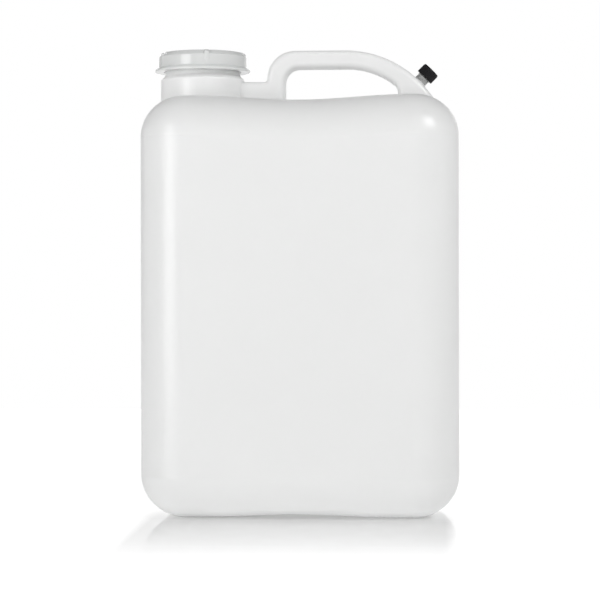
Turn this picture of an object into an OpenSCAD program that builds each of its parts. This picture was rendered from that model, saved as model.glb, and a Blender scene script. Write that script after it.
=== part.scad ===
// Five gallon tight head container in natural polyethylene: a blow moulded can with a hollow
// through handle, a wide screw cap at one end of the handle and a small vent cap at the other.
// Origin on the floor under the middle of the body, X across the width, front towards -Y.

/* [Body] */
// Width of the body, side to side
body_w = 287.5; // [260:0.5:310]
// Depth of the body, front to back
body_d = 200; // [170:1:230]
// Height of the shoulders above the floor
body_h = 380; // [330:1:430]
// Radius of the four upright corners, seen from above
corner_r = 43; // [40:0.5:50]
// Radius where the walls roll over into the top
shoulder_r = 38; // [30:0.5:39]
// Radius where the walls roll under into the base
heel_r = 39; // [28:0.5:41]
// How far the middle of the top sags below the shoulders
saddle_dip = 4.5; // [0:0.5:8]
// How far the middle of the base arches up off the floor
base_arch = 2.2; // [0:0.2:4]
// Thickness of the blown wall
wall = 2.3; // [1.6:0.1:3]

/* [Neck] */
// Distance from the left side of the body to the neck's axis
neck_inset = 50.3; // [46:0.1:58]
// Outer diameter of the neck's lower cylinder
neck_d = 78; // [72:0.5:82]
// Height of the lower cylinder above the shoulders
neck_h = 18.7; // [14:0.1:24]
// Outer diameter of the finish that carries the thread
finish_d = 70; // [66:0.5:71]
// Height of the slope from the lower cylinder in to the finish
neck_slope_h = 3.7; // [2:0.1:6]
// Length of the finish from the slope up to the lip
finish_h = 17.9; // [14:0.1:24]
// Wall thickness of the finish
finish_wall = 2.4; // [1.8:0.1:3]

/* [Screw cap] */
// Radial room between the finish and the cap's bore, which the thread fills
thread_room = 2.7; // [2.4:0.1:3.4]
// Wall thickness of the cap's skirt
cap_wall = 2.9; // [2:0.1:4]
// Thickness of the cap's top
cap_top = 2.4; // [1.8:0.1:4]
// Height of the slope round the cap's upper edge
cap_slope_h = 4.2; // [2:0.1:6]
// Radial width of that slope
cap_slope_w = 4.3; // [2:0.1:5.5]
// Gap between the flange's lower edge and the neck's slope
cap_gap = 3.6; // [1:0.1:6]
// Radial width of the flange round the foot of the skirt
flange_w = 3.6; // [1:0.1:6]
// Height of the flange where it leaves the skirt
flange_h = 4.4; // [3:0.1:6]
// Thickness of the flange at its edge
flange_edge = 1.8; // [1:0.1:2.6]
// Number of grip lugs round the cap
lugs = 5; // [3:1:8]
// Width of a lug
lug_w = 4; // [2:0.1:6]
// How far a lug stands above the cap's top
lug_rise = 0.4; // [0.2:0.1:1.5]
// Turn of the first lug from the front of the container
lug_turn = 11.5; // [0:0.5:71]
// Depth of the shallow recess in the cap's top
cap_recess = 0.8; // [0.2:0.1:1]
// Width of the rim left round that recess
cap_rim = 6; // [3:0.5:12]
// Thickness of the sealing disc under the cap's top
gasket_t = 1.2; // [0.8:0.1:2]

/* [Handle] */
// Depth of the handle, front to back
handle_d = 30; // [24:1:36]
// Height of the handle's top above the shoulders
handle_rise = 44.9; // [40:0.1:55]
// Height of the grip, from its top to its underside
grip_h = 16.4; // [14:0.1:20]
// Length of the web between the neck and the handle's left leg
web_l = 21.9; // [12:0.1:28]
// Height of the web's top above the shoulders
web_h = 16.3; // [12:0.1:22]
// Thickness of the left leg, seen from the front
leg_t = 16.6; // [14:0.1:22]
// Outer radius of the bend from the left leg into the grip
bend_r = 25.9; // [22:0.1:28]
// Inner radius of that bend
bend_in_r = 13; // [8:0.1:15]
// Outer radius of the long bend down to the right shoulder
sweep_r = 98; // [90:1:106]
// Inner radius of that bend
sweep_in_r = 70; // [60:1:76]
// Distance from the right side of the body to the centre of the outer sweep
sweep_inset = 104.8; // [98:0.1:110]
// How far the centre of the inner sweep lies to the right of the outer one
sweep_shift = 2.1; // [0:0.1:8]
// Angle from the vertical at which the hole's right end turns straight down
sweep_end = 42; // [36:1:46]
// Radius along the handle's long edges
edge_r = 5.5; // [4:0.1:5.7]
// Radius of the fillets where the handle grows out of the top
foot_r = 5; // [3:0.1:7]

/* [Vent] */
// Angle of the vent's axis above the horizontal
vent_angle = 45; // [40:1:50]
// Outer diameter of the vent's boss
boss_d = 12; // [10.5:0.1:14]
// Height of the boss above the handle
boss_h = 5.2; // [3:0.1:8]
// Height of the bead at the top of the boss
bead_h = 0.8; // [0.4:0.1:1.2]
// Diameter of the threaded spout inside the vent cap
spout_d = 10; // [9:0.1:10.4]
// Length of the spout above the boss
spout_h = 7.6; // [5:0.1:10]
// Diameter of the air hole
vent_bore = 6; // [4:0.1:7]
// Outer diameter of the vent cap
vent_cap_d = 17; // [15.5:0.1:20]
// Thickness of the vent cap's top
vent_top = 1.6; // [1:0.1:2.4]
// Number of grip flutes round the vent cap
flutes = 24; // [12:1:32]
// Depth of a flute
flute = 0.35; // [0.1:0.05:0.5]
// Radial room between the spout and the vent cap's bore
vent_thread_room = 1; // [0.8:0.1:1.4]
// Thickness of the sealing disc under the vent cap's top
liner_t = 1; // [0.6:0.1:1.6]

/* [Fits] */
// Clearance between a sealing disc's edge and its cap
disc_clearance = 0.3; // [0.2:0.05:0.5]
// Gap under the vent cap's skirt
skirt_gap = 0.6; // [0.3:0.1:1]

/* [Hidden] */
natural = [0.93, 0.94, 0.93];
clear_natural = [0.88, 0.9, 0.89];
foam = [0.95, 0.95, 0.92];
black = [0.06, 0.06, 0.065];
$fn = 96;

// Facets of the blown skin: round an upright corner, along a long side and over a shoulder
corner_steps = 8;
side_steps = 12;
roll_steps = 8;
// Facets round a corner of the handle's section and round its bends
edge_steps = 4;
bend_steps = 8;
sweep_steps = 9;
drop_steps = 4;
// How far a piece reaches into its neighbour so that the two join
sink = 6;
// Heights of a foot's rings above the top, upwards and downwards
foot_heights = [for (share = [0, 0.15, 0.4, 1]) share * foot_r];
foot_down = [for (i = [len(foot_heights) - 1:-1:0]) foot_heights[i]];
// Turn of the outer sweep for each millimetre of a foot's height, which fans the foot out
foot_fan = 1.2;
// How far a cut runs past the face that it opens
past = 1;

flat_x = body_w / 2 - corner_r;
flat_y = body_d / 2 - corner_r;
// The base is level on the floor from here out, which leaves a foot at either end
arch_x = flat_x * (1 - 2 / side_steps);
half_ring = 2 * corner_steps + side_steps + 1;
ring_n = 2 * half_ring;

neck_x = neck_inset - body_w / 2;
slope_z = body_h + neck_h;
finish_z = slope_z + neck_slope_h;
lip_z = finish_z + finish_h;
neck_bore = neck_d / 2 - wall;
finish_bore = finish_d / 2 - finish_wall;

cap_z = finish_z + cap_gap;
cap_bore = finish_d / 2 + thread_room;
cap_r = cap_bore + cap_wall;
cap_inside_z = lip_z + gasket_t;
cap_top_z = cap_inside_z + cap_top;

handle_z = body_h + handle_rise;
hole_z = handle_z - grip_h;
web_z = body_h + web_h;
leg_x = neck_x + neck_d / 2 + web_l;
leg_in_x = leg_x + leg_t;
sweep_x = body_w / 2 - sweep_inset;
sweep_z = handle_z - sweep_r;
sweep_in_x = sweep_x + sweep_shift;
sweep_in_z = hole_z - sweep_in_r;
hole_end_x = sweep_in_x + sweep_in_r * sin(sweep_end);
hole_end_z = sweep_in_z + sweep_in_r * cos(sweep_end);

// Angle from the vertical at which the outer sweep meets the shoulder: two circles that cross
roll_x = body_w / 2 - shoulder_r - sweep_x;
roll_z = body_h - shoulder_r - sweep_z;
roll_gap = norm([roll_x, roll_z]);
meet_angle = 90 - atan2(roll_z, roll_x)
    - acos((pow(sweep_r, 2) + pow(roll_gap, 2) - pow(shoulder_r, 2)) / (2 * sweep_r * roll_gap));

vent_cap_s = boss_h + skirt_gap;
vent_lip_s = boss_h + spout_h;
vent_cap_bore = spout_d / 2 + vent_thread_room;
vent_cap_h = vent_lip_s + liner_t + vent_top - vent_cap_s;

// How much of the dip or the arch reaches a place x: all of it in the middle, none past the flats
function sag(x, half) = abs(x) >= half ? 0 : (1 + cos(180 * x / half)) / 2;

// Height of the outside of the top at a place x, over the flat middle of its depth
function top_z(x) = body_h - saddle_dip * sag(x, flat_x);

// One point of the front half of a level ring whose upright corners have radius r
function front_point(i, r) =
    i <= corner_steps
        ? let (a = 180 + 90 * i / corner_steps)
            [-flat_x + r * cos(a), -flat_y + r * sin(a)]
    : i < corner_steps + side_steps
        ? [-flat_x + 2 * flat_x * (i - corner_steps) / side_steps, -flat_y - r]
    : let (a = 270 + 90 * (i - corner_steps - side_steps) / corner_steps)
        [flat_x + r * cos(a), -flat_y + r * sin(a)];

// A whole ring at height z, with the back half a mirror of the front, bent by dip and arch
function ring(r, z, dip, arch) = [
    for (i = [0:ring_n - 1])
        let (
            front = i < half_ring,
            p = front_point(front ? i : ring_n - 1 - i, r)
        )
        [p[0], front ? p[1] : -p[1], z + arch * sag(p[0], arch_x) - dip * sag(p[0], flat_x)]
];

// Rings of the skin, set in from the outside by t: round the heel, then over the shoulder
function skin_rings(t) = [
    for (k = [0:roll_steps])
        let (a = 90 * k / roll_steps, r = heel_r - t)
        ring(max(corner_r - heel_r + r * sin(a), 1), t + r * (1 - cos(a)), 0, base_arch),
    for (k = [0:roll_steps])
        let (a = 90 * k / roll_steps, r = shoulder_r - t)
        ring(max(corner_r - shoulder_r + r * cos(a), 1), body_h - shoulder_r + r * sin(a), saddle_dip, 0)
];

// A solid through rings of n points each, closed by the faces first and last
module loft(rings, n, first, last) {
    count = len(rings);
    points = [for (row = rings) for (p = row) p];
    sides = [
        for (j = [0:count - 2])
            for (i = [0:n - 1])
                let (k = (i + 1) % n)
                for (face = [
                    [j * n + i, (j + 1) * n + i, (j + 1) * n + k],
                    [j * n + i, (j + 1) * n + k, j * n + k]
                ])
                    face
    ];
    end = (count - 1) * n;
    closing = [for (face = last) [for (i = face) end + i]];
    polyhedron(points = points, faces = concat(sides, first, closing), convexity = 6);
}

// The body without its neck and handle, set in from the outside by t
module skin(t) {
    across = [for (i = [0:half_ring - 2]) [i, i + 1, ring_n - 2 - i, ring_n - 1 - i]];
    reversed = [for (f = across) [f[3], f[2], f[1], f[0]]];
    loft(skin_rings(t), ring_n, across, reversed);
}

// Pairs of points, outer then inner, that follow the handle's two outlines in the XZ plane.
// The feet fan out by grow times their fillet: 1 outside, and 0 inside, where they run straight
function leg_pairs(grow) = [
    for (h = concat([-sink], foot_heights))
        let (z = top_z(leg_in_x) + h, f = grow * flare(h))
        [[leg_x, z], [leg_in_x + f, z], f]
];
function bend_pairs() = [
    for (k = [0:bend_steps])
        let (a = 180 - 90 * k / bend_steps)
        [
            [leg_x + bend_r + bend_r * cos(a), handle_z - bend_r + bend_r * sin(a)],
            [leg_in_x + bend_in_r + bend_in_r * cos(a), hole_z - bend_in_r + bend_in_r * sin(a)],
            0
        ]
];
function sweep_pairs() = [
    for (k = [0:sweep_steps])
        let (a = sweep_end * k / sweep_steps)
        [
            [sweep_x + sweep_r * sin(a), sweep_z + sweep_r * cos(a)],
            [sweep_in_x + sweep_in_r * sin(a), sweep_in_z + sweep_in_r * cos(a)],
            0
        ]
];
// Below the end of the inner sweep the hole's end drops straight into the top
function foot_pair(h, f) = [
    let (a = meet_angle - foot_fan * h)
        [sweep_x + sweep_r * sin(a), sweep_z + sweep_r * cos(a)],
    [hole_end_x - f, top_z(hole_end_x) + h],
    f
];
function drop_pairs() =
    let (
        high = (meet_angle - sweep_end) / foot_fan,
        foot_z = top_z(hole_end_x) + foot_r
    )
    [
        for (k = [1:drop_steps - 1])
            let (
                share = k / drop_steps,
                o = foot_pair(high + (foot_r - high) * share, 0)[0]
            )
            [o, [hole_end_x, hole_end_z + (foot_z - hole_end_z) * share], 0]
    ];
function foot_pairs(grow) = [
    for (h = concat(foot_down, [-1.5 * sink]))
        foot_pair(h, grow * flare(h))
];

// Growth of a foot at height h above the top: a concave quarter round
function flare(h) = h >= foot_r ? 0 : h <= 0 ? foot_r : foot_r - sqrt(pow(foot_r, 2) - pow(foot_r - h, 2));

// Rounded section between an outer and an inner point, set in by t, grown by f front and back
function handle_ring(pair, t) =
    let (
        o = pair[0],
        i = pair[1],
        span = norm(o - i),
        u = (o - i) / span,
        mid = (o + i) / 2,
        r = edge_r - t,
        a = span / 2 - edge_r,
        b = handle_d / 2 - edge_r + pair[2]
    )
    [
        for (q = [0:3])
            for (k = [0:edge_steps])
                let (
                    angle = 90 * q + 90 * k / edge_steps,
                    su = (q == 0 || q == 3 ? 1 : -1) * a + r * cos(angle),
                    sv = (q < 2 ? 1 : -1) * b + r * sin(angle)
                )
                [mid[0] + u[0] * su, -sv, mid[1] + u[1] * su]
    ];

// The handle's tube, set in from the outside by t
module tube(t) {
    n = 4 * (edge_steps + 1);
    grow = t > 0 ? 0 : 1;
    pairs = concat(leg_pairs(grow), bend_pairs(), sweep_pairs(), drop_pairs(), foot_pairs(grow));
    cap = [[for (i = [0:n - 1]) i]];
    loft([for (p = pairs) handle_ring(p, t)], n, cap, [[for (i = [0:n - 1]) n - 1 - i]]);
}

// Upright section of the web, set in by t: rounded along the top, flared outside at the body
function web_half(t) = concat(
    [for (k = [0:roll_steps])
        let (a = 90 - 90 * k / roll_steps, r = edge_r - t)
        [handle_d / 2 - edge_r + r * cos(a), web_z - edge_r + r * sin(a)]],
    [for (h = concat(foot_down, [-sink]))
        [handle_d / 2 - t + (t > 0 ? 0 : flare(h)), top_z(leg_x) + h]]
);

module web(t) {
    right = web_half(t);
    left = [for (i = [len(right) - 1:-1:0]) [-right[i][0], right[i][1]]];
    start = neck_x + neck_bore - past;
    length = leg_x + leg_t / 2 - start;
    translate([start, 0, 0])
        rotate([90, 0, 90])
            linear_extrude(length)
                polygon(concat(right, left));
}

// Neck turned about its axis, outside and bore
module neck() {
    translate([neck_x, 0, 0])
        rotate_extrude()
            polygon([
                [0, body_h - shoulder_r],
                [neck_d / 2, body_h - shoulder_r],
                [neck_d / 2, slope_z],
                [finish_d / 2, finish_z],
                [finish_d / 2, lip_z],
                [0, lip_z]
            ]);
}

module neck_hole() {
    translate([neck_x, 0, 0])
        rotate_extrude()
            polygon([
                [0, body_h - shoulder_r],
                [neck_bore, body_h - shoulder_r],
                [neck_bore, slope_z],
                [finish_bore, finish_z],
                [finish_bore, lip_z + past],
                [0, lip_z + past]
            ]);
}

// Moves and tips its children so that Z runs out along the vent's axis from the handle's surface
module at_vent() {
    translate([sweep_x + sweep_r * cos(vent_angle), 0, sweep_z + sweep_r * sin(vent_angle)])
        rotate([0, 90 - vent_angle, 0])
            children();
}

module boss() {
    at_vent()
        rotate_extrude()
            polygon([
                [0, -wall],
                [boss_d / 2, -wall],
                [boss_d / 2, boss_h - bead_h],
                [boss_d / 2 + bead_h / 2, boss_h - bead_h / 2],
                [boss_d / 2, boss_h],
                [spout_d / 2, boss_h],
                [spout_d / 2, vent_lip_s],
                [0, vent_lip_s]
            ]);
}

module air_hole() {
    at_vent()
        translate([0, 0, -wall - past])
            cylinder(d = vent_bore, h = wall + vent_lip_s + 2 * past);
}

// One blown skin: body, neck, web, hollow handle and vent boss, open inside from end to end
module container() {
    color(natural)
        difference() {
            union() {
                skin(0);
                tube(0);
                web(0);
                neck();
                boss();
            }
            skin(wall);
            tube(wall);
            web(wall);
            neck_hole();
            air_hole();
        }
}

// Skirt, sloped shoulder, drooping flange and recessed top of the screw cap
module cap_shell() {
    rotate_extrude()
        polygon([
            [cap_bore, cap_z],
            [cap_r + flange_w, cap_z],
            [cap_r + flange_w, cap_z + flange_edge],
            [cap_r, cap_z + flange_h],
            [cap_r, cap_top_z - cap_slope_h],
            [cap_r - cap_slope_w, cap_top_z],
            [cap_r - cap_slope_w - cap_rim, cap_top_z],
            [cap_r - cap_slope_w - cap_rim, cap_top_z - cap_recess],
            [0, cap_top_z - cap_recess],
            [0, cap_inside_z],
            [cap_bore, cap_inside_z]
        ]);
}

// Ring that a lug is cut from: it fills the slope and stands a little above the top
module lug_ring() {
    rotate_extrude()
        polygon([
            [cap_bore + cap_wall / 2, cap_z + flange_h / 2],
            [cap_r + lug_rise, cap_z + flange_h / 2],
            [cap_r + lug_rise, cap_top_z - lug_rise],
            [cap_r - lug_rise, cap_top_z + lug_rise],
            [cap_r - cap_slope_w - lug_rise, cap_top_z + lug_rise],
            [cap_r - cap_slope_w - lug_rise, cap_top_z - cap_top / 4],
            [cap_bore + cap_wall / 2, cap_top_z - cap_slope_h]
        ]);
}

module screw_cap() {
    color(clear_natural)
        translate([neck_x, 0, 0])
            union() {
                cap_shell();
                for (i = [0:lugs - 1])
                    rotate(lug_turn - 90 + 360 * i / lugs)
                        intersection() {
                            lug_ring();
                            translate([0, -lug_w / 2, cap_z])
                                cube([cap_r + flange_w, lug_w, cap_top_z]);
                        }
            }
}

// Foam disc between the cap's top and the neck's lip
module cap_gasket() {
    color(foam)
        translate([neck_x, 0, lip_z])
            cylinder(r = cap_bore - disc_clearance, h = gasket_t);
}

// Outline of the vent cap: a circle with shallow flutes
function fluted(r, points) = [
    for (i = [0:points - 1])
        let (a = 360 * i / points, rr = r - flute / 2 + flute / 2 * cos(flutes * a))
        [rr * cos(a), rr * sin(a)]
];

module vent_cap() {
    crown = vent_cap_d / 2 - flute;
    color(black)
        at_vent()
            translate([0, 0, vent_cap_s])
                difference() {
                    union() {
                        linear_extrude(vent_cap_h - vent_top)
                            polygon(fluted(vent_cap_d / 2, 6 * flutes));
                        translate([0, 0, vent_cap_h - vent_top])
                            cylinder(r1 = crown, r2 = crown - vent_top / 3, h = vent_top);
                    }
                    translate([0, 0, -past])
                        cylinder(r = vent_cap_bore, h = vent_cap_h - vent_top + past);
                }
}

module vent_liner() {
    color(foam)
        at_vent()
            translate([0, 0, vent_lip_s])
                cylinder(r = vent_cap_bore - disc_clearance, h = liner_t);
}

container();
screw_cap();
cap_gasket();
vent_cap();
vent_liner();
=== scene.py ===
import math
import time

import bpy
import numpy as np
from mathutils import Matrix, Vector


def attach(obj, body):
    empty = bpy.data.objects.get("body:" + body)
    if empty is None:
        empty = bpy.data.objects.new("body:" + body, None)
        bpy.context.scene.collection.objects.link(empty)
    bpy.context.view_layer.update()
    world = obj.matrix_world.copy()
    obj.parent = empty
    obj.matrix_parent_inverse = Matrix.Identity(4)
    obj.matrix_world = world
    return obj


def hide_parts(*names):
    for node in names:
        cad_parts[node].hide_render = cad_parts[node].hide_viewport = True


# All sizes are millimetres until a mesh is made, and X, Y and Z are those of the CAD frame.
mm = 0.001
started = time.time()


def report(stage):
    print(f"stage: {stage}, {time.time() - started:.1f} s", flush=True)


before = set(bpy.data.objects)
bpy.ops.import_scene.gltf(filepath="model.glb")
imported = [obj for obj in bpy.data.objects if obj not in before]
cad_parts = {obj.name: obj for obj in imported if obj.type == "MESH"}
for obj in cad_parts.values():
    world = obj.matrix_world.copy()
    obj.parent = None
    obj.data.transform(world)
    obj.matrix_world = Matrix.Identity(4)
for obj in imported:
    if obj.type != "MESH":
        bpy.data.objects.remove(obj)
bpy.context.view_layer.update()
report("frame loaded")


# Signed distance helpers: below 0 is inside. A fillet or a round has the radius r.
def joinRound(a, b, r):
    return np.maximum(r, np.minimum(a, b)) - np.hypot(np.maximum(r - a, 0), np.maximum(r - b, 0))


def cutRound(a, b, r):
    return -joinRound(-a, -b, r)


def roundCorner(a, b, r):
    # Distance to a corner of radius r, where a and b start at the middle of its arc
    return np.hypot(np.maximum(a, 0), np.maximum(b, 0)) + np.minimum(np.maximum(a, b), 0) - r


def ridgeLine(distance, width):
    # A bell curve: e to the minus square of distance over width
    return np.exp(-((distance / width) ** 2))


def smoothStep(low, high, value):
    t = np.clip((value - low) / (high - low), 0, 1)
    return t * t * (3 - 2 * t)


def turned(value, period):
    # The nearest whole turn taken off, so that the rest lies within half a period of 0
    return value - period * np.round(value / period)


# A surface net: one vertex in each grid cell that the surface crosses, moved onto the surface
def gradient(field, p, step=0.02):
    # Along each axis: the field a step ahead less the field a step behind, over two steps
    out = np.empty_like(p)
    for axis in range(3):
        d = np.zeros(3)
        d[axis] = step
        high, low = p + d, p - d
        out[:, axis] = (field(*high.T) - field(*low.T)) / (2 * step)
    return out


def surfaceNet(axes, field, settle=4):
    # Each vertex is the mean of its cell's edge crossings, then slides down the field's slope
    gx, gy, gz = axes
    value = field(gx[:, None, None], gy[None, :, None], gz[None, None, :])
    value = np.broadcast_to(value, (len(gx), len(gy), len(gz)))
    inside = value < 0
    count = np.zeros([n - 1 for n in inside.shape], np.int8)
    for a in (0, 1):
        for b in (0, 1):
            for c in (0, 1):
                count += inside[a : a + count.shape[0], b : b + count.shape[1], c : c + count.shape[2]]
    mixed = (count > 0) & (count < 8)
    cells = np.argwhere(mixed)
    index = np.full(mixed.shape, -1)
    index[mixed] = np.arange(len(cells))
    total = np.zeros((len(cells), 3))
    hits = np.zeros(len(cells))
    grids = (gx, gy, gz)
    for axis in range(3):
        others = [n for n in range(3) if n != axis]
        for a in (0, 1):
            for b in (0, 1):
                near = cells.copy()
                near[:, others[0]] += a
                near[:, others[1]] += b
                far = near.copy()
                far[:, axis] += 1
                v0, v1 = value[tuple(near.T)], value[tuple(far.T)]
                cross = (v0 < 0) != (v1 < 0)
                t = np.where(cross, v0 / np.where(cross, v0 - v1, 1), 0)
                p0 = np.stack([g[near[:, n]] for n, g in enumerate(grids)], 1)
                p1 = np.stack([g[far[:, n]] for n, g in enumerate(grids)], 1)
                total += np.where(cross[:, None], p0 + t[:, None] * (p1 - p0), 0)
                hits += cross
    points = total / hits[:, None]
    low = np.stack([g[cells[:, n]] for n, g in enumerate(grids)], 1)
    high = np.stack([g[cells[:, n] + 1] for n, g in enumerate(grids)], 1)
    for _ in range(settle):
        slope = gradient(field, points)
        size = np.maximum((slope**2).sum(1), 0.05)
        points = points - slope * (field(*points.T) / size)[:, None]
        points = np.clip(points, low, high)
    slope = gradient(field, points)
    normals = slope / np.maximum(np.linalg.norm(slope, axis=1), 1e-9)[:, None]
    quads = []
    for axis in range(3):
        b, c = (axis + 1) % 3, (axis + 2) % 3
        one = [slice(None)] * 3
        two = [slice(None)] * 3
        one[axis], two[axis] = slice(0, -1), slice(1, None)
        flips = inside[tuple(one)] != inside[tuple(two)]
        for n in (b, c):
            edge = [slice(None)] * 3
            edge[n] = slice(1, -1)
            flips = flips[tuple(edge)]
        at = np.argwhere(flips)
        at[:, b] += 1
        at[:, c] += 1
        corners = []
        for db, dc in ((-1, -1), (0, -1), (0, 0), (-1, 0)):
            cell = at.copy()
            cell[:, b] += db
            cell[:, c] += dc
            corners.append(index[tuple(cell.T)])
        quad = np.stack(corners, 1)
        outward = inside[tuple(at.T)]
        quads.append(np.where(outward[:, None], quad, quad[:, ::-1]))
    return points, normals, np.concatenate(quads), cells


def tidyNet(points, normals, quads, cells, keep):
    # Drops the quads that use a vertex outside keep, and then every vertex that none uses
    quads = quads[keep[quads].all(1)]
    used = np.unique(quads)
    index = np.full(len(points), -1)
    index[used] = np.arange(len(used))
    return points[used], normals[used], index[quads], cells[used]


def zipRings(a, b, angleA, angleB):
    # Two rings sorted by angle: each edge closes to the other ring's point that was last passed
    nextA, nextB = np.roll(np.arange(len(a)), -1), np.roll(np.arange(len(b)), -1)
    j = (np.searchsorted(angleB, angleA[nextA], side="left") - 1) % len(b)
    i = (np.searchsorted(angleA, angleB[nextB], side="right") - 1) % len(a)
    return np.concatenate([
        np.stack([a, a[nextA], b[j]], 1),
        np.stack([a[i], b[nextB], b], 1),
    ])


# Lathes: a profile of (radius, height) from pole to pole, turned about Z
def rounded(corners, steps=5):
    # Corners are (radius, height, round): each is replaced by an arc of that radius
    out = []
    for n, (x, z, r) in enumerate(corners):
        p = np.array([x, z], float)
        if r <= 0 or n in (0, len(corners) - 1):
            out.append(p[None])
            continue
        a = np.array(corners[n - 1][:2], float) - p
        b = np.array(corners[n + 1][:2], float) - p
        la, lb = np.hypot(*a), np.hypot(*b)
        a, b = a / la, b / lb
        half = math.acos(np.clip(a @ b, -1, 1)) / 2
        reach = min(r / math.tan(half), 0.49 * la, 0.49 * lb)
        r = reach * math.tan(half)
        centre = p + (a + b) / np.hypot(*(a + b)) * r / math.sin(half)
        start, end = p + a * reach - centre, p + b * reach - centre
        turn = math.atan2(start[0] * end[1] - start[1] * end[0], start @ end)
        angle = np.linspace(0, turn, steps)
        out.append(np.stack([
            centre[0] + start[0] * np.cos(angle) - start[1] * np.sin(angle),
            centre[1] + start[0] * np.sin(angle) + start[1] * np.cos(angle),
        ], 1))
    return np.concatenate(out)


def refined(profile, step):
    # Adds points so that no piece of the profile is longer than step
    out = [profile[:1]]
    for p, q in zip(profile[:-1], profile[1:]):
        n = max(1, math.ceil(np.hypot(*(q - p)) / step))
        out.append(p + (q - p) * np.linspace(0, 1, n + 1)[1:, None])
    return np.concatenate(out)


def latheGrid(radius, height, angles):
    # Points of a turned grid: rings by angles, with radius and height given for every point
    shape = np.broadcast_shapes(np.shape(radius), np.shape(height), (1, len(angles)))
    radius, height = np.broadcast_to(radius, shape), np.broadcast_to(height, shape)
    return np.stack([radius * np.cos(angles), radius * np.sin(angles), height], -1)


def gridQuads(rings, around, first=0):
    # Each point is joined to the next one round its ring and to the two above them
    i, j = np.meshgrid(np.arange(rings - 1), np.arange(around), indexing="ij")
    k = (j + 1) % around
    quad = np.stack([i * around + j, i * around + k, (i + 1) * around + k, (i + 1) * around + j], -1)
    return quad.reshape(-1, 4) + first


def poleFans(rings, around, bottom, top):
    # Triangles from each end ring to the point on the axis
    j = np.arange(around)
    k = (j + 1) % around
    last = (rings - 1) * around
    return np.concatenate([
        np.stack([np.full(around, bottom), k, j], 1),
        np.stack([np.full(around, top), last + j, last + k], 1),
    ])


def lathe(profile, angles, shift=None):
    # A closed turned body: the profile's two ends lie on the axis
    inner = profile[1:-1]
    radius, height = inner[:, 0][:, None], inner[:, 1][:, None]
    if shift is not None:
        radius, height = shift(radius, height, angles[None])
    grid = latheGrid(radius, height, angles)
    rings, around = grid.shape[:2]
    points = np.concatenate([
        grid.reshape(-1, 3),
        [[0, 0, profile[0][1]], [0, 0, profile[-1][1]]],
    ])
    count = rings * around
    return points, gridQuads(rings, around), poleFans(rings, around, count, count + 1)


def evenAngles(count):
    return np.linspace(-math.pi, math.pi, count, endpoint=False)


def makeObject(name, points, faces, material, body, nodes, normals=None, sharp=35):
    mesh = bpy.data.meshes.new(name)
    mesh.from_pydata((points * mm).tolist(), [], [f for part in faces for f in part.tolist()])
    mesh.validate()
    mesh.shade_smooth()
    if normals is not None:
        mesh.normals_split_custom_set_from_vertices(normals.tolist())
    else:
        mesh.set_sharp_from_angle(angle=math.radians(sharp))
    obj = bpy.data.objects.new(name, mesh)
    bpy.context.scene.collection.objects.link(obj)
    obj.data.materials.append(material)
    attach(obj, body)
    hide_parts(*nodes)
    report(f"{name} made, {len(mesh.polygons)} faces")
    return obj


# Materials
def socketGroup(name, inputs, outputs):
    tree = bpy.data.node_groups.new(name, "ShaderNodeTree")
    for label, kind, value in inputs:
        socket = tree.interface.new_socket(name=label, in_out="INPUT", socket_type=kind)
        socket.default_value = value
    for label, kind in outputs:
        tree.interface.new_socket(name=label, in_out="OUTPUT", socket_type=kind)
    return tree, tree.nodes.new("NodeGroupInput"), tree.nodes.new("NodeGroupOutput")


def node(tree, kind, **values):
    made = tree.nodes.new(kind)
    for key, value in values.items():
        if key.startswith("in_"):
            made.inputs[key[3:]].default_value = value
        else:
            setattr(made, key, value)
    return made


skin = dict(waveScale=14.0, grainScale=900.0, toneScale=9.0)
# Heights in mm over which the painted lift of the neck and handle fades in, from none to full
paintedLiftZone = dict(low=380, high=394)


def mottleGroup():
    # Height and roughness of a moulded skin: broad flow waves, fine grain and a few faint scuffs
    tree, given, out = socketGroup(
        "mouldedSkin",
        [("Wave", "NodeSocketFloat", 0.2), ("Grain", "NodeSocketFloat", 0.02),
         ("Roughness", "NodeSocketFloat", 0.35), ("Spread", "NodeSocketFloat", 0.05)],
        [("Height", "NodeSocketFloat"), ("Roughness", "NodeSocketFloat"), ("Tone", "NodeSocketFloat")],
    )
    link = tree.links.new
    place = node(tree, "ShaderNodeTexCoord")
    wave = node(tree, "ShaderNodeTexNoise", in_Scale=skin["waveScale"], in_Detail=2.0, in_Roughness=0.5)
    grain = node(tree, "ShaderNodeTexNoise", in_Scale=skin["grainScale"], in_Detail=3.0, in_Roughness=0.6)
    tone = node(tree, "ShaderNodeTexNoise", in_Scale=skin["toneScale"], in_Detail=3.0, in_Roughness=0.55)
    for texture in (wave, grain, tone):
        link(place.outputs["Object"], texture.inputs["Vector"])
    waveTerm = node(tree, "ShaderNodeMath", operation="MULTIPLY")
    grainTerm = node(tree, "ShaderNodeMath", operation="MULTIPLY")
    height = node(tree, "ShaderNodeMath", operation="ADD")
    link(wave.outputs["Fac"], waveTerm.inputs[0])
    link(given.outputs["Wave"], waveTerm.inputs[1])
    link(grain.outputs["Fac"], grainTerm.inputs[0])
    link(given.outputs["Grain"], grainTerm.inputs[1])
    link(waveTerm.outputs[0], height.inputs[0])
    link(grainTerm.outputs[0], height.inputs[1])
    link(height.outputs[0], out.inputs["Height"])
    # Roughness is the given one, moved by the spread times twice the tone less one
    centred = node(tree, "ShaderNodeMath", operation="MULTIPLY_ADD")
    centred.inputs[1].default_value = 2.0
    centred.inputs[2].default_value = -1.0
    moved = node(tree, "ShaderNodeMath", operation="MULTIPLY_ADD")
    link(tone.outputs["Fac"], centred.inputs[0])
    link(centred.outputs[0], moved.inputs[0])
    link(given.outputs["Spread"], moved.inputs[1])
    link(given.outputs["Roughness"], moved.inputs[2])
    link(moved.outputs[0], out.inputs["Roughness"])
    link(tone.outputs["Fac"], out.inputs["Tone"])
    return tree


skinGroup = mottleGroup()


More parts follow.
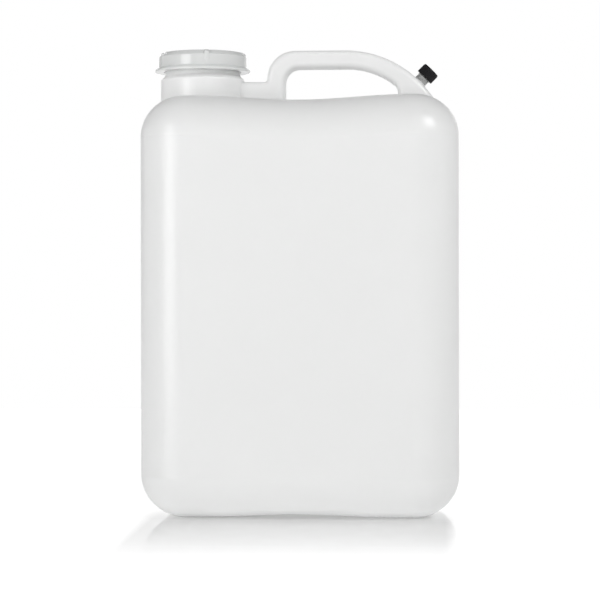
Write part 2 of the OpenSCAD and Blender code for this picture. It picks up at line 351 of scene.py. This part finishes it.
def plastic(name, color, dark, wave, grain, roughness, spread, paintedLift=None, **shader):
    material = bpy.data.materials.new(name)
    material.use_nodes = True
    tree = material.node_tree
    principled = tree.nodes["Principled BSDF"]
    group = tree.nodes.new("ShaderNodeGroup")
    group.node_tree = skinGroup
    for label, value in (("Wave", wave), ("Grain", grain), ("Roughness", roughness), ("Spread", spread)):
        group.inputs[label].default_value = value
    mix = tree.nodes.new("ShaderNodeMix")
    mix.data_type = "RGBA"
    mix.inputs["A"].default_value = (*dark, 1)
    mix.inputs["B"].default_value = (*color, 1)
    bump = tree.nodes.new("ShaderNodeBump")
    bump.inputs["Distance"].default_value = mm
    tree.links.new(group.outputs["Tone"], mix.inputs["Factor"])
    tree.links.new(mix.outputs["Result"], principled.inputs["Base Color"])
    tree.links.new(group.outputs["Roughness"], principled.inputs["Roughness"])
    tree.links.new(group.outputs["Height"], bump.inputs["Height"])
    tree.links.new(bump.outputs["Normal"], principled.inputs["Normal"])
    for key, value in shader.items():
        principled.inputs[key.replace("_", " ")].default_value = value
    if paintedLift:
        # Painted light: from the shoulder up the colour is lifted towards a paler one. It stands in for
        # light passing through the hollow neck and handle, and it lightens the shade under the grip and in
        # the neck's gap.
        place = tree.nodes.new("ShaderNodeTexCoord")
        split = tree.nodes.new("ShaderNodeSeparateXYZ")
        rise = tree.nodes.new("ShaderNodeMapRange")
        rise.interpolation_type = "SMOOTHSTEP"
        rise.inputs["From Min"].default_value = paintedLiftZone["low"] * mm
        rise.inputs["From Max"].default_value = paintedLiftZone["high"] * mm
        white = tree.nodes.new("ShaderNodeMix")
        white.data_type = "RGBA"
        white.inputs["B"].default_value = (*paintedLift, 1)
        tree.links.new(place.outputs["Object"], split.inputs[0])
        tree.links.new(split.outputs["Z"], rise.inputs["Value"])
        tree.links.new(rise.outputs["Result"], white.inputs["Factor"])
        tree.links.new(mix.outputs["Result"], white.inputs["A"])
        tree.links.new(white.outputs["Result"], principled.inputs["Base Color"])
    return material


# Its paler colour from the shoulder up is painted light
natural = plastic(
    "naturalPolyethylene", (0.87, 0.875, 0.87), (0.85, 0.855, 0.85), 0.35, 0.004, 0.29, 0.03,
    paintedLift=(0.93, 0.935, 0.93), IOR=1.5, Subsurface_Weight=0.6, Subsurface_Radius=(1.0, 1.0, 1.0),
    Subsurface_Scale=0.006,
)
clearNatural = plastic(
    "naturalPolypropylene", (0.755, 0.765, 0.76), (0.73, 0.74, 0.735), 0.15, 0.002, 0.13, 0.02,
    IOR=1.5, Transmission_Weight=0.06, Subsurface_Weight=0.4, Subsurface_Radius=(1.0, 1.0, 1.0),
    Subsurface_Scale=0.004,
)
# The vent boss is mid grey for two reasons. Partly the vent cap's dark thread is seen through the thin
# plastic. Partly it is painted shade under the black vent cap.
bossThreadAndPaintedShade = plastic(
    "threadAndPaintedShadePolyethylene", (0.42, 0.425, 0.42), (0.38, 0.385, 0.38), 0.2, 0.004, 0.34, 0.03,
    IOR=1.5, Subsurface_Weight=0.3, Subsurface_Radius=(1.0, 1.0, 1.0), Subsurface_Scale=0.003,
)
foam = plastic("whiteFoam", (0.84, 0.84, 0.82), (0.8, 0.8, 0.78), 0.1, 0.02, 0.8, 0.05, IOR=1.4)
black = plastic(
    "blackPolypropylene", (0.008, 0.008, 0.009), (0.006, 0.006, 0.007), 0.1, 0.004, 0.4, 0.04,
    IOR=1.49, Specular_IOR_Level=0.2,
)


# The blown container
can = dict(
    halfWidth=143.75, halfDepth=100, height=380, corner=43, shoulder=38, heel=39,
    dip=4.5, arch=2.2, archReach=83.96, wall=2.3, panelHollow=0.25,
    neckX=-93.45, neckRadius=39, slopeZ=398.7, finishRadius=35, finishZ=402.4, cutZ=404.5,
    legX=-32.55, legInX=-15.95, topZ=424.9, holeZ=408.5, webZ=396.3, webStart=-65,
    bend=25.9, bendIn=13, sweep=98, sweepX=38.95, sweepIn=70, sweepInX=41.05,
    holeEndX=87.89, gripHalf=15, edge=5.5, foot=5, webFillet=2.5, endRound=3,
    ventX=108.2465, ventZ=396.1965, collarRadius=5.9, collarHeight=3.2, collarFillet=1.6,
    ridge=0.22, ridgeWidth=0.42, insertGroove=0.06, insertWidth=0.55,
    pinch=1.1, pinchWidth=0.9, pinchReach=70, hollowFrom=(60, 150), hollowTo=(240, 330),
    root=355, neckEdge=0.8, neckFoot=0.6, neckFillet=1.2, collarRoot=4,
)


def sag(x, half):
    # A raised cosine: 1 in the middle, 0 from half outwards
    return np.where(np.abs(x) >= half, 0, (1 + np.cos(np.pi * np.clip(x / half, -1, 1))) / 2)


def bodyField(x, y, z):
    # A rounded rectangle in plan, rounded into a sagging top and an arched base
    c = can
    flatX, flatY = c["halfWidth"] - c["corner"], c["halfDepth"] - c["corner"]
    up = smoothStep(c["heel"], c["height"] - c["shoulder"], z)
    z = z + c["dip"] * sag(x, flatX) * up - c["arch"] * sag(x, c["archReach"]) * (1 - up)
    qx, qy = np.abs(x) - flatX, np.abs(y) - flatY
    # The broad panels draw in a little as the moulding cools, most in their middle
    panel = sag(x, flatX) * smoothStep(*c["hollowFrom"], z) * (1 - smoothStep(*c["hollowTo"], z))
    side = roundCorner(qx, qy, c["corner"]) + c["panelHollow"] * panel * (np.abs(y) > flatY)
    lines = ridgeLine(z - (c["height"] - c["shoulder"]), c["insertWidth"])
    lines = lines + ridgeLine(z - c["heel"], c["insertWidth"])
    side = side + c["insertGroove"] * lines
    top, under = z - c["height"], -z
    shape = cutRound(cutRound(side, top, c["shoulder"]), under, c["heel"])
    ends = smoothStep(c["pinchReach"] - 4, c["pinchReach"], np.abs(x))
    pinch = ridgeLine(y, c["pinchWidth"]) * (1 - ends)
    # The pinch line stands proud of the arched base and never reaches the floor
    proud = np.minimum(c["pinch"], 0.7 * c["arch"] * sag(x, c["archReach"]))
    return shape - proud * pinch * (z < c["heel"] / 2)


def handlePlan(x, z):
    # The handle and its web seen from the front: the outer outline less the hole
    c = can
    cornered = roundCorner(c["legX"] + c["bend"] - x, z - (c["topZ"] - c["bend"]), c["bend"])
    swept = np.hypot(x - c["sweepX"], z - (c["topZ"] - c["sweep"])) - c["sweep"]
    outer = np.where(x < c["sweepX"], cornered, swept)
    web = np.maximum(np.maximum(z - c["webZ"], x - (c["legX"] + c["bend"])), c["webStart"] - x)
    outer = joinRound(outer, web, c["webFillet"])
    cornered = roundCorner(c["legInX"] + c["bendIn"] - x, z - (c["holeZ"] - c["bendIn"]), c["bendIn"])
    swept = np.hypot(x - c["sweepInX"], z - (c["holeZ"] - c["sweepIn"])) - c["sweepIn"]
    hole = np.where(x < c["sweepInX"], cornered, swept)
    hole = cutRound(hole, x - c["holeEndX"], c["endRound"])
    return np.maximum(outer, -hole)


def neckField(x, y, z):
    # A cylinder cut by a cone, with the finish's narrower cylinder standing on it
    c = can
    r = np.hypot(x - c["neckX"], y)
    rise, run = c["finishZ"] - c["slopeZ"], c["neckRadius"] - c["finishRadius"]
    slope = ((r - c["neckRadius"]) * rise + (z - c["slopeZ"]) * run) / math.hypot(rise, run)
    lower = cutRound(r - c["neckRadius"], slope, c["neckEdge"])
    return joinRound(lower, r - c["finishRadius"], c["neckFoot"])


def containerField(x, y, z):
    # Body, grip, vent collar and neck joined by fillets, with the parting line's ridge at Y 0
    c = can
    plan = handlePlan(x, z)
    grip = cutRound(plan, np.abs(y) - c["gripHalf"], c["edge"])
    # A slab from far below, so that only what rises out of the top is joined by a fillet
    body = bodyField(x, y, z)
    shape = joinRound(body, np.maximum(grip, c["root"] - z), c["foot"])
    along = ((x - c["ventX"]) + (z - c["ventZ"])) * math.sqrt(0.5)
    across = np.hypot(((z - c["ventZ"]) - (x - c["ventX"])) * math.sqrt(0.5), y)
    collar = np.maximum(across - c["collarRadius"], along - c["collarHeight"])
    collar = np.maximum(collar, -c["collarRoot"] - along)
    shape = joinRound(shape, collar, c["collarFillet"])
    shape = joinRound(shape, np.maximum(neckField(x, y, z), c["root"] - z), c["neckFillet"])
    return shape + c["ridge"] - c["ridge"] * ridgeLine(y, c["ridgeWidth"])


def cavityField(x, y, z):
    # The inside is everywhere one wall below the skin
    return containerField(x, y, z) + can["wall"]


def gridLine(*parts):
    # Joins runs of (start, end, step) into one rising line of grid places
    values = [np.linspace(a, b, max(1, round((b - a) / s)), endpoint=False) for a, b, s in parts]
    return np.append(np.concatenate(values), parts[-1][1])


def mirrored(line):
    # The line's negative in front of it, with the 0 that they share kept once
    return np.concatenate([-line[::-1], line[1:]])


outerAxes = (
    gridLine((-146, -135, 3.4), (-135, -52, 1.7), (-52, 96, 2.1), (96, 120, 1.2), (120, 146, 3.2)),
    mirrored(np.concatenate([
        [0, 0.35, 0.8, 1.4],
        gridLine((2.4, 9, 1.1), (9, 21, 1.0), (21, 42, 1.75), (42, 62, 5), (62, 101.5, 3.9)),
    ])),
    np.concatenate([
        gridLine((-1.3, 3.5, 0.8), (3.5, 35.2, 3.2)), [36, 36.8], gridLine((40, 330, 18)),
        gridLine((334, 341.2, 3.6)), [342, 342.8], gridLine((345, 372, 3.2), (374, can["cutZ"], 1.17)),
        gridLine((can["cutZ"], 427, 1.2))[1:],
    ]),
)
innerAxes = (
    gridLine((-144, -135, 4), (-135, -52, 3.1), (-52, 125, 3.6), (125, 144, 4)),
    mirrored(gridLine((0, 15, 2.2), (15, 42, 3.2), (42, 62, 8), (62, 99, 4.6))),
    np.concatenate([
        gridLine((1, 40, 3.9)), gridLine((46, 330, 28)),
        gridLine((336, 372, 4), (373.5, can["cutZ"], 2.6)), gridLine((can["cutZ"], 427, 2.6))[1:],
    ]),
)


def openNet(axes, field, radius):
    # The net without the neck above the cut, and its open ring in order of angle
    points, normals, quads, cells = surfaceNet(axes, field)
    layer = int(np.argmin(np.abs(axes[2] - can["cutZ"])))
    away = np.hypot(points[:, 0] - can["neckX"], points[:, 1])
    keep = ~((cells[:, 2] >= layer) & (away < can["neckRadius"] + 6))
    points, normals, quads, cells = tidyNet(points, normals, quads, cells, keep)
    away = np.hypot(points[:, 0] - can["neckX"], points[:, 1])
    ring = np.nonzero((cells[:, 2] == layer - 1) & (np.abs(away - radius) < 2))[0]
    angle = np.arctan2(points[ring, 1], points[ring, 0] - can["neckX"])
    order = np.argsort(angle)
    return points, normals, quads, ring[order], angle[order]


outer = openNet(outerAxes, containerField, can["finishRadius"] - can["ridge"])
inner = openNet(innerAxes, cavityField, can["finishRadius"] - can["ridge"] - can["wall"])
report(f"skins netted, {len(outer[2])} and {len(inner[2])} quads")

# The neck's finish: a single start thread, a rounded lip and the bore
finish = dict(
    lipZ=420.3, bore=32.5, radius=34.8, lead=6, threadStart=407.2, turns=1.7,
    threadHeight=1.9, threadBase=3.2, threadCrest=1.2, lipRound=0.9, around=192, step=0.4,
)


def threadShape(angle, z, start, lead, turns, height, base, crest, fade=0.07):
    # Height of a trapezoid thread at an angle and a height, fading out at both ends
    share = angle / (2 * math.pi)
    whole = np.round((z - start) / lead - share)
    along = share + whole
    off = np.abs(z - start - lead * along)
    flank = np.clip((base / 2 - off) / ((base - crest) / 2), 0, 1)
    return height * flank * smoothStep(0, fade, along) * (1 - smoothStep(turns - fade, turns, along))


def finishGrid():
    # Rings up the outside, over the lip and down the bore; the thread adds to the radius
    f = finish
    profile = rounded([
        (f["radius"], can["cutZ"], 0), (f["radius"], f["lipZ"], f["lipRound"]),
        (f["bore"], f["lipZ"], f["lipRound"]), (f["bore"], can["cutZ"] + 0.6, 0),
    ], 6)
    profile = refined(profile, f["step"])
    # The bore needs no fine rings
    bore = (profile[:, 0] < f["bore"] + 0.01) & (np.arange(len(profile)) % 6 > 0)
    bore[-1] = False
    profile = profile[~bore]
    angles = evenAngles(f["around"])
    radius, z = profile[:, 0][:, None], profile[:, 1][:, None]
    outside = radius > f["radius"] - 0.01
    thread = threadShape(
        angles[None], z, f["threadStart"], f["lead"], f["turns"],
        f["threadHeight"], f["threadBase"], f["threadCrest"],
    )
    grid = latheGrid(radius + thread * outside, z, angles)
    down = np.gradient(grid, axis=0)
    over = (np.roll(grid, -1, 1) - np.roll(grid, 1, 1)) / 2
    normal = np.cross(over, down)
    normal /= np.maximum(np.linalg.norm(normal, axis=2), 1e-9)[..., None]
    grid[..., 0] += can["neckX"]
    return grid, normal, angles


def buildContainer():
    # Outer skin, finish and inner skin, closed to each other round the neck's two rings
    grid, gridNormal, angles = finishGrid()
    rings, around = grid.shape[:2]
    first = len(outer[0])
    second = first + rings * around
    points = np.concatenate([outer[0], grid.reshape(-1, 3), inner[0]])
    normals = np.concatenate([outer[1], gridNormal.reshape(-1, 3), -inner[1]])
    low = first + np.arange(around)
    high = first + (rings - 1) * around + np.arange(around)
    quads = np.concatenate([outer[2], gridQuads(rings, around, first), inner[2][:, ::-1] + second])
    up = zipRings(outer[3], low, outer[4], angles)
    down = zipRings(inner[3] + second, high, inner[4], angles)[:, ::-1]
    return makeObject(
        "blownContainer", points, [quads, up, down], natural, "container", ["container"],
        normals=normals,
    )


container = buildContainer()

# The vent's boss, bead and threaded spout, turned about the vent's axis
spout = dict(
    boss=6, bossHeight=4.4, bead=6.3, beadHeight=5.2, radius=5, lip=12.8, bore=3, depth=-1.2,
    lead=2.5, threadStart=6.6, turns=2, threadHeight=0.55, threadBase=1.3, threadCrest=0.4, around=96,
)


def atVent(points):
    # Tips the lathe's axis over by 45 degrees towards X and moves it to the handle's surface
    s = math.sqrt(0.5)
    x, y, z = points.T
    return np.stack([can["ventX"] + s * (x + z), y, can["ventZ"] + s * (z - x)], 1)


def buildSpout():
    s = spout
    profile = rounded([
        (0, -2, 0), (s["boss"] - 0.6, -2, 0), (s["boss"], -1, 0), (s["boss"], s["bossHeight"], 0.2),
        (s["bead"], s["bossHeight"] + 0.3, 0.2), (s["bead"], s["beadHeight"], 0.25),
        (s["radius"], s["beadHeight"], 0.2), (s["radius"], s["lip"], 0.4), (s["bore"], s["lip"], 0.3),
        (s["bore"], s["depth"], 0), (0, s["depth"], 0),
    ], 4)
    profile = refined(profile, 0.28)

    def thread(radius, z, angles):
        rise = threadShape(
            angles, z, s["threadStart"], s["lead"], s["turns"],
            s["threadHeight"], s["threadBase"], s["threadCrest"], 0.1,
        )
        outside = (np.abs(radius - s["radius"]) < 0.01) & (z > s["beadHeight"])
        return radius + rise * outside, z

    points, quads, fans = lathe(profile, evenAngles(s["around"]), thread)
    return makeObject(
        "ventSpout", atVent(points), [quads, fans], bossThreadAndPaintedShade, "container", [], sharp=40,
    )


ventSpout = buildSpout()

# The screw cap: a skirt with a drooping flange, a sloped edge, five lugs and a recessed top
cap = dict(
    low=406, flange=44.2, flangeEdge=1.8, flangeHeight=4.4, radius=40.6, top=423.9, slopeHeight=4.2,
    slopeWidth=4.3, recess=0.8, rim=6, inside=421.5, bore=37.7, bead=35.6, around=260, step=0.55,
    lugs=5, lugTurn=11.5, lugWidth=4, lugRise=0.2, lugEdge=0.35, lugPull=1.05, lugPullFrom=0.35,
    lugFlat=0.95, lugFill=0.85, lugFoot=0.35,
    lead=6, threadStart=410.2, turns=1.3, threadHeight=2.0, threadBase=2.2, threadCrest=0.7,
)


def buildCap():
    c = cap
    slopeIn = c["radius"] - c["slopeWidth"]
    rimIn = slopeIn - c["rim"]
    profile = rounded([
        (0, c["inside"], 0), (c["bore"], c["inside"], 0.8), (c["bore"], c["low"] + 1.9, 0.4),
        (c["bead"], c["low"] + 1.2, 0.3), (c["bead"], c["low"], 0.3),
        (c["flange"], c["low"], 0.7), (c["flange"], c["low"] + c["flangeEdge"], 0.7),
        (c["radius"] + 0.7, c["low"] + c["flangeHeight"] - 0.5, 0.3),
        (c["radius"], c["low"] + c["flangeHeight"] - 0.4, 0.4),
        (c["radius"], c["top"] - c["slopeHeight"], 1.0),
        (slopeIn, c["top"], 0.8), (rimIn, c["top"], 0.5), (rimIn - 0.5, c["top"] - c["recess"], 0.5),
        (0, c["top"] - c["recess"], 0),
    ], 6)
    profile = refined(profile, c["step"])
    # The flat discs need no fine rings
    flat = (profile[:, 0] < rimIn - 3) & (np.arange(len(profile)) % 8 > 0)
    flat[[0, -1]] = False
    profile = profile[~flat]
    lugAt = np.radians(c["lugTurn"] - 90 + 360 / c["lugs"] * np.arange(c["lugs"]))
    half = c["lugWidth"] / 2 / c["radius"]
    edge = c["lugEdge"] / c["radius"]
    sides = np.array([half, half + edge / 2, half + edge])
    extra = (lugAt[:, None] + np.concatenate([-sides, sides])).ravel()
    angles = np.sort(turned(np.concatenate([evenAngles(c["around"]), extra]), 2 * math.pi))
    angles = angles[np.append(True, np.diff(angles) > 0.001)]

    def shift(radius, z, angle):
        inner = (np.abs(radius - c["bore"]) < 0.02) & (z < c["inside"] - 1)
        hidden = (radius < c["bore"] + 0.02) & (z < c["inside"] + 0.01)
        thread = threadShape(
            angle, z, c["threadStart"], c["lead"], c["turns"],
            c["threadHeight"], c["threadBase"], c["threadCrest"],
        )
        radius, z = np.broadcast_arrays(radius - thread * inner, z)
        off = np.min(np.abs(turned(angle[..., None] - lugAt, 2 * math.pi)), axis=-1)
        lug = 1 - smoothStep(half, half + edge, off)
        # A lug fills the slope out to the wall, stands above the top and fades into the wall
        wallUp = smoothStep(c["low"] + c["flangeHeight"], c["top"] - c["slopeHeight"], z)
        outside = ~hidden & (z > c["low"] + c["flangeHeight"])
        share = np.clip((c["radius"] - radius) / c["slopeWidth"], 0, 1)
        pull = c["lugPull"] * c["slopeWidth"] * smoothStep(c["lugPullFrom"], 1, share)
        drop = c["lugFill"] * c["slopeHeight"] * (1 - smoothStep(0, c["lugFlat"], share))
        stand = c["lugRise"] * (c["lugFoot"] + (1 - c["lugFoot"]) * wallUp)
        onSlope = share > 0.02
        toRadius = np.where(onSlope, c["radius"] + c["lugRise"] - pull, radius + stand)
        toZ = np.where(onSlope, c["top"] + c["lugRise"] - drop, z)
        weight = lug * outside * (radius > slopeIn - 0.2)
        return radius + (toRadius - radius) * weight, z + (toZ - z) * weight

    points, quads, fans = lathe(profile, angles, shift)
    points[:, 0] += can["neckX"]
    return makeObject(
        "screwCap", points, [quads, fans], clearNatural, "screw_cap", ["screw_cap"], sharp=32,
    )


screwCap = buildCap()


def disc(name, radius, low, high, move, material, body, node):
    profile = rounded([(0, low, 0), (radius, low, 0.15), (radius, high, 0.15), (0, high, 0)], 3)
    points, quads, fans = lathe(profile, evenAngles(96))
    return makeObject(name, move(points), [quads, fans], material, body, [node])


gasket = disc(
    "capGasket", 37.4, 420.3, 421.5, lambda p: p + [can["neckX"], 0, 0], foam,
    "cap_gasket", "cap_gasket",
)
liner = disc("ventLiner", 5.7, 12.8, 13.8, atVent, foam, "vent_liner", "vent_liner")

# The vent cap: a fluted skirt with a bevelled top and an inner thread
vent = dict(
    low=5.8, top=15.4, inside=13.8, radius=8.5, bore=6, flutes=24, flute=0.35,
    lead=2.5, threadStart=7.9, turns=1.8, threadHeight=0.4, threadBase=0.9, threadCrest=0.3,
)


def buildVentCap():
    v = vent
    profile = rounded([
        (0, v["inside"], 0), (v["bore"], v["inside"], 0.2), (v["bore"], v["low"], 0.15),
        (v["radius"], v["low"], 0.25), (v["radius"], v["top"] - 1.5, 0.5),
        (v["radius"] - 0.6, v["top"], 0.4), (0, v["top"], 0),
    ], 5)
    profile = refined(profile, 0.35)
    flat = (profile[:, 0] < 5.5) & (np.arange(len(profile)) % 5 > 0)
    flat[[0, -1]] = False
    profile = profile[~flat]

    def shift(radius, z, angle):
        # Narrow grooves between flat teeth, run out before the top and the lower edge
        wave = np.clip(0.5 - 0.9 * np.cos(v["flutes"] * angle), 0, 1)
        reach = smoothStep(v["low"] + 0.3, v["low"] + 0.9, z)
        reach = reach * (1 - smoothStep(v["top"] - 2.2, v["top"] - 1.5, z))
        outside = radius > v["radius"] - 0.3
        thread = threadShape(
            angle, z, v["threadStart"], v["lead"], v["turns"],
            v["threadHeight"], v["threadBase"], v["threadCrest"], 0.1,
        )
        inner = (np.abs(radius - v["bore"]) < 0.01) & (z < v["inside"] - 0.4)
        return radius - v["flute"] * (1 - wave) * reach * outside - thread * inner, z + 0 * angle

    points, quads, fans = lathe(profile, evenAngles(8 * v["flutes"]), shift)
    return makeObject(
        "ventCap", atVent(points), [quads, fans], black, "vent_cap", ["vent_cap"], sharp=40,
    )


ventCap = buildVentCap()


# Floor: white acrylic, a soft mirror near the can, with a faint painted shade in front of it
floorLook = dict(
    colour=0.9, glow=0.236, seen=0.6, polish=0.03, index=1.6, near=0.10, mirrorFar=0.35, shadeFar=0.48,
    mirrorSide=(0.16, 0.38), shadeSide=(0.130, 0.146), shadeBack=(-0.08, 0.02),
)


def floorMaterial():
    material = bpy.data.materials.new("whiteAcrylic")
    material.use_nodes = True
    tree = material.node_tree
    principled = tree.nodes["Principled BSDF"]
    principled.inputs["Base Color"].default_value = (*[floorLook["colour"]] * 3, 1)
    principled.inputs["Roughness"].default_value = 1.0
    principled.inputs["Specular IOR Level"].default_value = 0.0
    principled.inputs["Emission Color"].default_value = (1, 1, 1, 1)
    principled.inputs["Coat Roughness"].default_value = floorLook["polish"]
    principled.inputs["Coat IOR"].default_value = floorLook["index"]
    place = tree.nodes.new("ShaderNodeTexCoord")
    split = tree.nodes.new("ShaderNodeSeparateXYZ")
    tree.links.new(place.outputs["Object"], split.inputs[0])

    def combine(operation, first, second=None):
        made = tree.nodes.new("ShaderNodeMath")
        made.operation = operation
        for socket, value in zip(made.inputs, (first, second)):
            if isinstance(value, (int, float)):
                socket.default_value = value
            elif value is not None:
                tree.links.new(value, socket)
        return made.outputs[0]

    def fade(axis, near, far, oneSide=False):
        # 1 up to the near distance from the middle and 0 past the far one
        made = tree.nodes.new("ShaderNodeMapRange")
        for name, value in (("From Min", near), ("From Max", far), ("To Min", 1), ("To Max", 0)):
            made.inputs[name].default_value = value
        away = split.outputs[axis] if oneSide else combine("ABSOLUTE", split.outputs[axis])
        tree.links.new(away, made.inputs["Value"])
        return made.outputs["Result"]

    look = floorLook
    mirror = combine("MULTIPLY", fade("Y", look["near"], look["mirrorFar"]), fade("X", *look["mirrorSide"]))
    # Painted shade: a strip in front of the can, sharp at the can's sides and fading with distance. There
    # the glow that the camera sees is lowered, standing in for the can's shadow on the floor.
    shade = combine("MULTIPLY", fade("Y", look["near"], look["shadeFar"]), fade("X", *look["shadeSide"]))
    shade = combine("MULTIPLY", shade, fade("Y", *look["shadeBack"], oneSide=True))
    # The camera sees a whiter floor than the one whose light reaches the can
    path = tree.nodes.new("ShaderNodeLightPath").outputs["Is Camera Ray"]
    seen = combine("MULTIPLY", combine("SUBTRACT", 1.0, shade), look["seen"])
    extra = combine("MULTIPLY", combine("SUBTRACT", seen, look["glow"]), path)
    tree.links.new(mirror, principled.inputs["Coat Weight"])
    tree.links.new(combine("ADD", extra, look["glow"]), principled.inputs["Emission Strength"])
    return material


def panel(name, corners, material):
    # One flat quad through four corners, in metres
    mesh = bpy.data.meshes.new(name)
    mesh.from_pydata(corners, [], [(0, 1, 2, 3)])
    made = bpy.data.objects.new(name, mesh)
    bpy.context.scene.collection.objects.link(made)
    made.data.materials.append(material)
    return made


def glowMaterial():
    material = bpy.data.materials.new("litPaper")
    material.use_nodes = True
    principled = material.node_tree.nodes["Principled BSDF"]
    principled.inputs["Base Color"].default_value = (0, 0, 0, 1)
    principled.inputs["Specular IOR Level"].default_value = 0.0
    principled.inputs["Emission Color"].default_value = (1, 1, 1, 1)
    principled.inputs["Emission Strength"].default_value = 1.0
    return material


# The backdrop is only as wide and high as its mirror image in the floor needs
stage = dict(reach=60.0, back=1.5, halfWidth=0.9, high=0.9)
r, b, w, h = stage["reach"], stage["back"], stage["halfWidth"], stage["high"]
floor = panel("floor", [(-r, -r, 0), (r, -r, 0), (r, r, 0), (-r, r, 0)], floorMaterial())
backdrop = panel("backdrop", [(-w, b, 0.001), (w, b, 0.001), (w, b, h), (-w, b, h)], glowMaterial())


# Light: areas aimed at the middle of the can, given by azimuth from the front, height and size
def softLight(name, azimuth, elevation, distance, width, height, power):
    data = bpy.data.lights.new(name, "AREA")
    data.shape = "RECTANGLE"
    data.size, data.size_y = width, height
    data.energy = power
    obj = bpy.data.objects.new(name, data)
    bpy.context.scene.collection.objects.link(obj)
    target = Vector((0, 0, 0.2))
    a, e = math.radians(azimuth), math.radians(elevation)
    way = Vector((math.sin(a) * math.cos(e), -math.cos(a) * math.cos(e), math.sin(e)))
    obj.location = target + way * distance
    obj.rotation_euler = (-way).to_track_quat("-Z", "Y").to_euler()
    return obj


softLight("leftStrip", -40.5, 8, 2.0, 0.88, 1.5, 17.4)
softLight("rightTop", 51, 34, 2.2, 0.7, 0.7, 14.8)
softLight("rightSide", 80, 14, 2.6, 1.6, 1.4, 3.4)
softLight("frontFill", 4, 6, 3.4, 1.8, 1.6, 5.3)


def buildWorld(ambient):
    world = bpy.data.worlds.new("whiteBackground")
    bpy.context.scene.world = world
    world.use_nodes = True
    tree = world.node_tree
    tree.nodes.clear()
    path = tree.nodes.new("ShaderNodeLightPath")
    ambientShader = tree.nodes.new("ShaderNodeBackground")
    ambientShader.inputs["Color"].default_value = (*ambient, 1)
    white = tree.nodes.new("ShaderNodeBackground")
    white.inputs["Color"].default_value = (1, 1, 1, 1)
    mix = tree.nodes.new("ShaderNodeMixShader")
    out = tree.nodes.new("ShaderNodeOutputWorld")
    tree.links.new(path.outputs["Is Camera Ray"], mix.inputs["Fac"])
    tree.links.new(ambientShader.outputs[0], mix.inputs[1])
    tree.links.new(white.outputs[0], mix.inputs[2])
    tree.links.new(mix.outputs[0], out.inputs["Surface"])


buildWorld((0.34, 0.34, 0.34))

# Camera: 2 m in front, level, with the frame moved down so that upright edges stay upright
view = dict(
    distance=2.0, height=0.215, focal=129.36, shiftX=-0.0056, shiftY=-0.0367, yaw=3.5, roll=0.1,
)


def buildCamera():
    data = bpy.data.cameras.new("camera")
    data.sensor_width = 36
    data.lens = view["focal"]
    data.shift_x, data.shift_y = view["shiftX"], view["shiftY"]
    obj = bpy.data.objects.new("camera", data)
    bpy.context.scene.collection.objects.link(obj)
    yaw = math.radians(view["yaw"])
    obj.location = (math.sin(yaw) * view["distance"], -math.cos(yaw) * view["distance"], view["height"])
    obj.rotation_euler = (math.radians(90), math.radians(view["roll"]), yaw)
    bpy.context.scene.camera = obj


buildCamera()
bpy.context.scene.view_settings.view_transform = "Standard"
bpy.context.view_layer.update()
report("scene ready")
